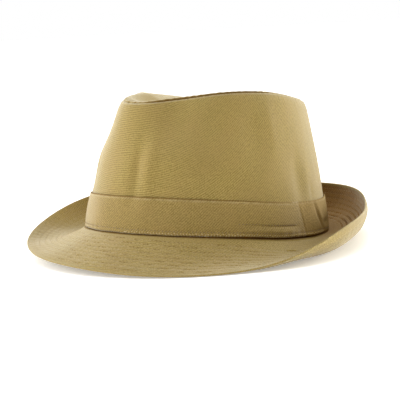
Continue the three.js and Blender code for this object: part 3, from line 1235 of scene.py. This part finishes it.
@dataclasses.dataclass
class Brim(ClothRing):
    """Two plies of twill turned together at the edge and quilted with rows of stitching.

    On the free part a knot's row is 1 plus the millimetres in from the edge, so that rows
    follow the edge. Nearer the crown it counts down in thousandths, from 0 to -1000 up to
    the crown and from -1000 to -2000 through the seam.
    """

    name: str = "brim_cloth"
    node: str = "brim"
    slot: str = "brim_cloth"
    steps: int = 600
    finish: Twill = Twill("brim_twill", slant=20, contrast=1.6, grain=0.6)
    flat_size: tuple[float, float] = (0.29, 0.31)
    flat_area: float | None = 0.039
    stitch_rows: int = 9
    pitch: float = 4.2
    groove: float = 0.07
    groove_rear: float = 0.7
    groove_half: float = 0.7
    free: float = 38.0
    inner_rows: int = 7
    upper_step: float = 0.42
    lower_step: float = 1.3
    thousandths: int = 1000
    inner_run: float = 8.0
    seam_run: float = 2.0
    edge_run: float = 4.0

    def section(self) -> list[Knot]:
        """Upper ply from the root out, round the edge, and the lower ply back.

        Returns:
            The knots of the section.
        """
        whole = self.thousandths
        near, sewn = self.inner_run / whole, self.seam_run / whole
        crown_run = self.free + self.inner_run
        inner = rows_between(whole, whole / self.inner_rows, self.inner_rows)
        knots = [Knot(-whole - t, 1, crown_run + t * sewn) for t in (whole, whole / 2)]
        knots += [Knot(-t, 1, self.free + t * near) for t in inner]
        upper = rows_between(self.free, 0.0, int(self.free / self.upper_step))
        knots += [Knot(d + 1, 1, d, worn_and_lit=self.rubbed_and_lit(d)) for d in upper]
        for i in range(1, 8):
            lean = math.radians(22.5 * i)
            knots.append(Knot(1, math.cos(lean), -0.5 * i, worn_and_lit=0.5))
        lower = rows_between(0.0, self.free, int(self.free / self.lower_step))
        knots += [Knot(d + 1, -1, -d - self.edge_run, worn_and_lit=self.rubbed_and_lit(d)) for d in lower]
        knots += [Knot(-t, -1, -self.free - self.edge_run - t * near) for t in reversed(inner)]
        knots += [Knot(-whole - t, -1, -crown_run - self.edge_run - t * sewn) for t in (whole / 2, whole)]
        return knots

    def rubbed_and_lit(self, d: float) -> float:
        """How much lighter the cloth is made near the edge: partly wear, partly painted highlight."""
        return 0.5 * float(bump(np.array(d), 0.9))

    def share(self, angle: Points, row: Points) -> Points:
        """The block's share of the brim's width at each knot.

        Args:
            angle: degrees round from the front.
            row: each knot's row.

        Returns:
            1 at the edge, 0 at the crown, and less through the seam.
        """
        width = BLOCK.column("width", angle)
        hidden = (1 - self.free / width) * (1 - np.clip(-row / self.thousandths, 0, 1))
        root = -np.clip(-row / self.thousandths - 1, 0, 1)
        return np.where(row >= 1, 1 - (row - 1) / width, np.where(row < -self.thousandths, root, hidden))

    def rear(self, angle: Points) -> Points:
        """How far round into the upturned back each angle is, from 0 to 1."""
        return ease(80, 130, np.abs(turn(angle, 0)))

    def stitch_line(self, d: Points) -> tuple[Points, Points, Points]:
        """Where each place lies among the stitched rows.

        Args:
            d: millimetres in from the edge.

        Returns:
            The distance to the nearest row in pitches, its number, and whether it is sewn.
        """
        line = np.rint(d / self.pitch)
        return np.mod(d / self.pitch + 0.5, 1) - 0.5, line, (line >= 1) & (line <= self.stitch_rows)

    def drawn(self, angle: Points, d: Points) -> Points:
        """How hard the rows of stitching have drawn the upturned back in, unevenly.

        Args:
            angle: degrees round from the front.
            d: millimetres in from the edge.

        Returns:
            From 0 to about 1.
        """
        rear = self.rear(angle) * (1 - ease(33.5, 37.5, d))
        uneven = np.clip(0.8 + 0.5 * ripple(angle, d, (8, 34), 0.25, seed=33), 0, 1.5)
        return rear * uneven * (0.22 + 0.78 * bump(d - 29.5, 5))

    def relief(self, angle: Points, d: Points, face: Points) -> Points:
        """How far the ply stands out of its plain shape.

        Args:
            angle: degrees round from the front.
            d: millimetres in from the edge.
            face: 1 on the upper ply, -1 on the lower.

        Returns:
            Millimetres outwards.
        """
        near, _, sewn = self.stitch_line(d)
        rear = self.drawn(angle, d) * (face > 0)
        depth = self.groove + self.groove_rear * rear
        groove = -depth * bump(near * self.pitch, self.groove_half) * sewn
        pillow = (0.02 + 0.16 * rear) * np.cos(2 * np.pi * near + np.pi) * (d < self.free + 2)
        pull = 0.05 * ripple(angle, d, (90, 150), 0.5, seed=31) * face
        soft = 0.25 * ripple(angle, d, (7, 17), 0.05, seed=32) * face * bump(d - 14, 16)
        return groove + pillow + pull + soft

    def shape(self, angle: Points, row: Points, side: Points) -> Points:
        """Places of the knots on the flange.

        Args:
            angle: degrees round from the front.
            row: each knot's row.
            side: each knot's side.

        Returns:
            The places, in millimetres.
        """
        middle, along, normal = BLOCK.brim_frame(angle, self.share(angle, row))
        d = np.where(row >= 1, row - 1, self.free + 6)
        half = BLOCK.brim / 2 * (0.62 + 0.38 * ease(0, 5, d))
        face = np.sign(side)
        lift = side * half + face * self.relief(angle, d, face) * ease(0.0, 2.0, d) * (row >= 1)
        over = half * np.sqrt(np.clip(1 - side**2, 0, 1))
        return middle + normal * lift[:, None] + along * over[:, None]

    def painted_shade_at(self, angle: Points, row: Points, side: Points) -> Points:
        """Painted shade in the stitched grooves, inside the upturned back and in the nook at the crown.

        Args:
            angle: degrees round from the front.
            row: each knot's row.
            side: each knot's side.

        Returns:
            Extra painted shade.
        """
        d = row - 1
        near, line, sewn = self.stitch_line(d)
        dashes = ease(-0.5, 0.9, ripple(angle, 3.7 * line, (14, 60), 1.5, seed=41))
        front = (0.25 + 0.35 * ease(-25, 15, angle)) * (1 - self.rear(angle)) * dashes
        deep = 0.08 + front + 0.85 * self.drawn(angle, d)
        groove = deep * bump(near * self.pitch, 0.6) * (sewn & (row >= 1))
        # Broad painted shade inside the upturned back.
        dim = 0.25 * ease(100, 130, angle) * bump(d - 19, 9) * (row >= 1)
        # Painted shadow in the nook where the brim meets the crown.
        nook = ease(1.3, 0.3, self.share(angle, row) * BLOCK.column("width", angle))
        return (groove + dim + 0.75 * nook) * (side > 0)

    def painted_red_shade_at(self, angle: Points, row: Points, side: Points) -> Points:
        """Painted shade, darker and redder, inside the upturned back, kept off its lighter edge."""
        rubbed_and_lit = (row >= 1) * (1 - ease(0.4, 2.6, row - 1))
        return ease(95, 130, np.abs(turn(angle, 0))) * (side > 0) * (1 - rubbed_and_lit)

    def flat(self, angle: Points, run: Points) -> Points:
        """The plies are cut as rings, so the grain runs straight across them.

        Args:
            angle: degrees round from the front.
            run: millimetres in from the edge, negative on the lower ply.

        Returns:
            Where each point lay on the flat cloth, in millimetres.
        """
        around = BLOCK.arc(np.array([360.0]))[0]
        swing = BLOCK.arc(angle) / around * 2 * math.pi
        rho = around / 2 / math.pi + (self.free + self.inner_run) - np.abs(run)
        turned = np.where(run < 0, 0.6, 0.0)
        return np.stack([rho * np.sin(swing + turned), -rho * np.cos(swing + turned)], -1)


@dataclasses.dataclass
class Stitching:
    """Rows of thread, each stitch a small spindle half sunk in the cloth. Sizes are in millimetres."""

    name: str
    slot: str
    thread: bpy.types.Material
    pitch: float = 3.1
    length: float = 2.3
    thick: float = 0.42
    sides: int = 6
    rings: int = 5
    frames: list[Points] = dataclasses.field(default_factory=list)

    def sew(self, place: Line, start: float = -180, end: float = 180) -> None:
        """Adds a row of stitches along a line on the hat.

        Args:
            place: gives points and outward normals for angles round the hat.
            start: the angle where the row starts.
            end: the angle where the row ends.
        """
        fine = np.linspace(start, end, max(12, int((end - start) * 3)))
        spots, normals = place(fine)
        run = np.concatenate([[0], np.cumsum(np.linalg.norm(np.diff(spots, axis=0), axis=1))])
        count = max(1, int(run[-1] / self.pitch))
        pick = np.random.RandomState(count)
        at = (np.arange(count) + 0.5 + pick.uniform(-0.06, 0.06, count)) * run[-1] / count
        ways = np.gradient(spots, run, axis=0)
        pos, way, up = (
            np.stack([np.interp(at, run, v[:, i]) for i in range(3)], -1) for v in (spots, ways, normals)
        )
        way /= np.linalg.norm(way, axis=1, keepdims=True)
        out = np.cross(up, way)
        out /= np.linalg.norm(out, axis=1, keepdims=True)
        up = np.cross(way, out)
        skew = pick.uniform(-0.13, 0.13, (count, 1))
        way, out = way + out * skew, out - way * skew
        half = self.length / 2 * pick.uniform(0.9, 1.08, (count, 1))
        thin = self.thick / 2
        self.frames.append(np.stack([out * thin, up * thin * 0.8, way * half, pos], -1))

    def build(self) -> bpy.types.Object:
        """Lays a copy of one spindle at each stitch, stands them with the hat and dresses them.

        Returns:
            The object that holds every stitch.
        """
        frames = np.concatenate(self.frames)
        bm = bmesh.new()
        bmesh.ops.create_uvsphere(bm, u_segments=self.sides, v_segments=self.rings, radius=1)
        # A new sphere lists its edges and faces differently at each run, so both are put in one order.
        bm.verts.index_update()
        for parts in (bm.edges, bm.faces):
            parts.sort(key=lambda part: sum(1 << vert.index for vert in part.verts))
        spindle = bpy.data.meshes.new("spindle")
        bm.to_mesh(spindle)
        local = np.array([[*v.co, 1.0] for v in bm.verts])
        for _ in range(len(frames) - 1):
            bm.from_mesh(spindle)
        bpy.data.meshes.remove(spindle)
        spots = BLOCK.stand(np.einsum("nij,kj->nki", frames, local).reshape(-1, 3))
        for vert, spot in zip(bm.verts, spots):
            vert.co = spot
        bmesh.ops.recalc_face_normals(bm, faces=bm.faces)
        for face in bm.faces:
            face.smooth = True
        piece = finish_mesh(bm, self.name)
        self.dress(piece)
        return piece

    def dress(self, piece: bpy.types.Object) -> None:
        """Gives the stitches their thread and their place in the frame.

        Args:
            piece: the finished object.
        """
        piece.data.materials.append(self.thread)
        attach(piece, "root")


@dataclasses.dataclass
class Trilby:
    """The whole hat: its cloth rings and its stitching.

    The middles of the threads stand brim_proud and band_proud millimetres out of the cloth.
    hem_from and hem_to are the angles between which the band's hem is sewn.
    """

    wall: CrownWall = dataclasses.field(default_factory=CrownWall)
    tip: CrownTip = dataclasses.field(default_factory=CrownTip)
    band: Band = dataclasses.field(default_factory=Band)
    brim: Brim = dataclasses.field(default_factory=Brim)
    brown: Colour = (0.13, 0.085, 0.035)
    brim_proud: float = 0.08
    band_proud: float = 0.06
    hem_from: float = 8.0
    hem_to: float = 116.0

    def build(self) -> list[bpy.types.Object]:
        """Builds and dresses every piece, in the order they are sewn.

        Returns:
            The pieces.
        """
        pieces = [ring.build() for ring in (self.wall, self.tip, self.band, self.brim)]
        return pieces + [sewing.build() for sewing in self.stitching()]

    def stitching(self) -> list[Stitching]:
        """Sews the rows of the brim and the band.

        Returns:
            The sets of stitches.
        """
        khaki = Thread().make()
        brown = Thread("brown_thread", self.brown).make()
        upper = Stitching("brim_topstitch_upper", "brim_cloth", khaki, thick=0.22)
        lower = Stitching("brim_topstitch_lower", "brim_cloth", khaki, thick=0.28)
        for row in range(1, self.brim.stitch_rows + 1):
            upper.sew(self.on_brim(row * self.brim.pitch, Face.OUTER))
            lower.sew(self.on_brim(row * self.brim.pitch, Face.INNER))
        trim = Stitching("band_stitching", "band_cloth", brown, pitch=2.6, length=1.3, thick=0.6)
        trim.sew(self.on_band(lambda a: self.band.stitch + 0.6 + 0 * a))
        crease = self.on_band(lambda a: self.band.crease + 0.9 + 0 * a)
        trim.sew(crease, self.band.crease_from - 2, self.band.crease_to + 1)
        hem = Stitching("band_hem_stitching", "band_cloth", khaki, pitch=2.2, length=1.0, thick=0.8)
        hem.sew(self.on_band(lambda a: 1.3 + 0.35 * np.sin(a * 2.1)), self.hem_from, self.hem_to)
        return [upper, lower, trim, hem]

    def on_brim(self, d: float, face: Face) -> Line:
        """A line on the brim at a distance in from its edge.

        Args:
            d: millimetres in from the edge.
            face: the upper or the lower face.

        Returns:
            A call that gives points and normals for angles.
        """

        def place(angle: Points) -> tuple[Points, Points]:
            """Finds points of the line.

            Args:
                angle: degrees round from the front.

            Returns:
                The points and their normals.
            """
            row, side = d + 1 + 0 * angle, face.value + 0 * angle
            spots = self.brim.shape(angle, row, side)
            normal = BLOCK.brim_frame(angle, self.brim.share(angle, row))[2] * face.value
            return spots + normal * self.brim_proud, normal

        return place

    def on_band(self, row: Callable[[Points], Points]) -> Line:
        """A line on the band.

        Args:
            row: gives the height above the foot for angles.

        Returns:
            A call that gives points and normals for angles.
        """

        def place(angle: Points) -> tuple[Points, Points]:
            """Finds points of the line.

            Args:
                angle: degrees round from the front.

            Returns:
                The points and their normals.
            """
            spots = self.band.shape(angle, row(angle), 1 + 0 * angle)
            way = BLOCK.outward(angle)
            normal = np.concatenate([way, 0.1 + 0 * way[:, :1]], -1)
            return spots + normal * self.band_proud, normal

        return place


def facing(azimuth: float, elevation: float) -> Vector:
    """The direction from the hat towards a place round it.

    Args:
        azimuth: degrees round from the front, the wearer's left positive.
        elevation: degrees above the floor.

    Returns:
        The direction, of length 1.
    """
    a, e = math.radians(azimuth), math.radians(elevation)
    return Vector((math.sin(a) * math.cos(e), -math.cos(a) * math.cos(e), math.sin(e)))


def soft_light(name: str, size: float, power: float) -> bpy.types.Object:
    """Makes a square soft light.

    Args:
        name: its name.
        size: its side, in metres.
        power: its power, in watts.

    Returns:
        The light, at the origin.
    """
    data = bpy.data.lights.new(name, "AREA")
    data.shape = "SQUARE"
    data.size = size
    data.energy = power
    item = bpy.data.objects.new(name, data)
    bpy.context.scene.collection.objects.link(item)
    return item


@dataclasses.dataclass(frozen=True)
class Lamp:
    """A soft light that faces the hat, in degrees, metres and watts."""

    name: str
    azimuth: float
    elevation: float
    size: float
    power: float
    tint: Colour = (1.0, 1.0, 1.0)
    distance: float = 1.6
    aim_height: float = 0.05

    def hang(self) -> None:
        """Hangs the light round the hat."""
        way = facing(self.azimuth, self.elevation)
        item = soft_light(self.name, self.size, self.power)
        item.data.color = self.tint
        item.location = way * self.distance + Vector((0, 0, self.aim_height))
        item.rotation_euler = way.to_track_quat("Z", "Y").to_euler()


@dataclasses.dataclass(frozen=True)
class Studio:
    """A pale floor, soft lights all round and the camera.

    The camera's distance and target are in millimetres, and focal and frame_width share one
    unit. The air dims towards the angle dim_end, down to dim_share of its light. The spot
    shines straight down on the bare floor; its place and size are in metres.
    """

    azimuth: float = 43.94
    elevation: float = 5.37
    distance: float = 900.3
    focal: float = 1179.38
    frame_width: float = 400.0
    sensor: float = 36.0
    target_height: float = 20.68
    target_side: float = -5.75
    roll: float = 0.158
    air_light: float = 1.15
    dim_end: float = 66.0
    dim_share: float = 0.3
    dim_tint: Colour = (1.0, 0.9, 0.68)
    table_light: float = 0.28
    floor_grey: float = 0.94
    floor_radius: float = 30.0
    floor_sides: int = 96
    spot_place: tuple[float, float, float] = (0.27, -0.04, 0.9)
    spot_size: float = 0.12
    spot_power: float = 1.3
    spot_spread: float = 12.0
    lamps: tuple[Lamp, ...] = (
        Lamp("left_light", -44, 14, 1.0, 19),
        Lamp("left_back_light", -98, 14, 1.0, 16),
        Lamp("right_light", 166, 8, 0.5, 25, (1.0, 0.97, 0.87)),
        Lamp("top_light", 0, 88, 1.0, 6),
    )

    def camera(self) -> None:
        """Places the camera, turned with the hat as it is stood down."""
        back = facing(self.azimuth, self.elevation)
        a, r = math.radians(self.azimuth), math.radians(self.roll)
        right = Vector((math.cos(a), math.sin(a), 0))
        up = back.cross(right)
        eye = Vector((0, 0, self.target_height)) + right * self.target_side + back * self.distance
        spin, shift = BLOCK.standing()
        level = math.cos(r) * right - math.sin(r) * up
        upright = math.sin(r) * right + math.cos(r) * up
        turned = [spin @ v for v in (level, upright, back)]
        place = (spin @ eye + shift) * MM
        data = bpy.data.cameras.new("camera")
        data.sensor_width = self.sensor
        data.lens = self.focal * self.sensor / self.frame_width
        data.clip_start = 0.01
        data.clip_end = 50.0
        item = bpy.data.objects.new("camera", data)
        item.matrix_world = Matrix([[v[i] for v in turned] + [place[i]] for i in range(3)] + [[0, 0, 0, 1]])
        bpy.context.scene.collection.objects.link(item)
        bpy.context.scene.camera = item

    def floor(self) -> None:
        """Lays the pale floor, a table softly lit from beneath."""
        bm = bmesh.new()
        bmesh.ops.create_circle(bm, cap_ends=True, radius=self.floor_radius, segments=self.floor_sides)
        piece = finish_mesh(bm, "floor")
        material = bpy.data.materials.new("pale_floor")
        n = Nodes(material)
        shader = n.add("BsdfPrincipled", in_Roughness=0.9, in_Specular_IOR_Level=0.1)
        shader.inputs["Base Color"].default_value = (*[self.floor_grey] * 3, 1)
        shader.inputs["Emission Color"].default_value = (1, 1, 1, 1)
        shader.inputs["Emission Strength"].default_value = self.table_light
        n.link(shader.outputs[0], n.add("OutputMaterial").inputs[0])
        piece.data.materials.append(material)

    def floor_lamp(self) -> None:
        """Hangs a narrow soft light over the bare floor, which throws it back up under the brim."""
        item = soft_light("floor_light", self.spot_size, self.spot_power)
        item.data.spread = math.radians(self.spot_spread)
        item.location = self.spot_place

    def air(self) -> None:
        """Fills the studio with white light, dimmer towards its open end."""
        world = bpy.data.worlds.new("studio")
        bpy.context.scene.world = world
        n = Nodes(world)
        seen = n.add("Background", in_Color=(1, 1, 1, 1), in_Strength=1.0)
        lit = n.add("Background")
        toward = n.add("VectorMath", operation="DOT_PRODUCT")
        toward.inputs[1].default_value = facing(self.dim_end, 0)
        n.link(n.add("TexCoord").outputs["Generated"], toward.inputs[0])
        dim = n.add("MapRange", interpolation_type="SMOOTHSTEP")
        n.link(toward.outputs["Value"], dim.inputs[0])
        power = n.math("MULTIPLY_ADD", dim.outputs[0], self.air_light * (self.dim_share - 1), self.air_light)
        n.link(n.mix("MIX", dim.outputs[0], (1, 1, 1), self.dim_tint), lit.inputs["Color"])
        n.link(power, lit.inputs["Strength"])
        path, mix = n.add("LightPath"), n.add("MixShader")
        n.link(path.outputs["Is Camera Ray"], mix.inputs[0])
        n.link(lit.outputs[0], mix.inputs[1])
        n.link(seen.outputs[0], mix.inputs[2])
        n.link(mix.outputs[0], n.add("OutputWorld").inputs[0])

    def build(self) -> None:
        """Sets up the camera, the floor, the lights and how colours are shown."""
        self.camera()
        self.floor()
        self.air()
        for lamp in self.lamps:
            lamp.hang()
        self.floor_lamp()
        view = bpy.context.scene.view_settings
        view.view_transform = "Standard"
        view.look = "None"


def main() -> None:
    """Builds the hat and the studio."""
    logging.basicConfig(level=logging.INFO, format="%(name)s: %(message)s")
    for piece in Trilby().build():
        log.info("%s: %d faces", piece.name, len(piece.data.polygons))
    Studio().build()
    bpy.context.view_layer.update()


if __name__ == "__main__":
    main()
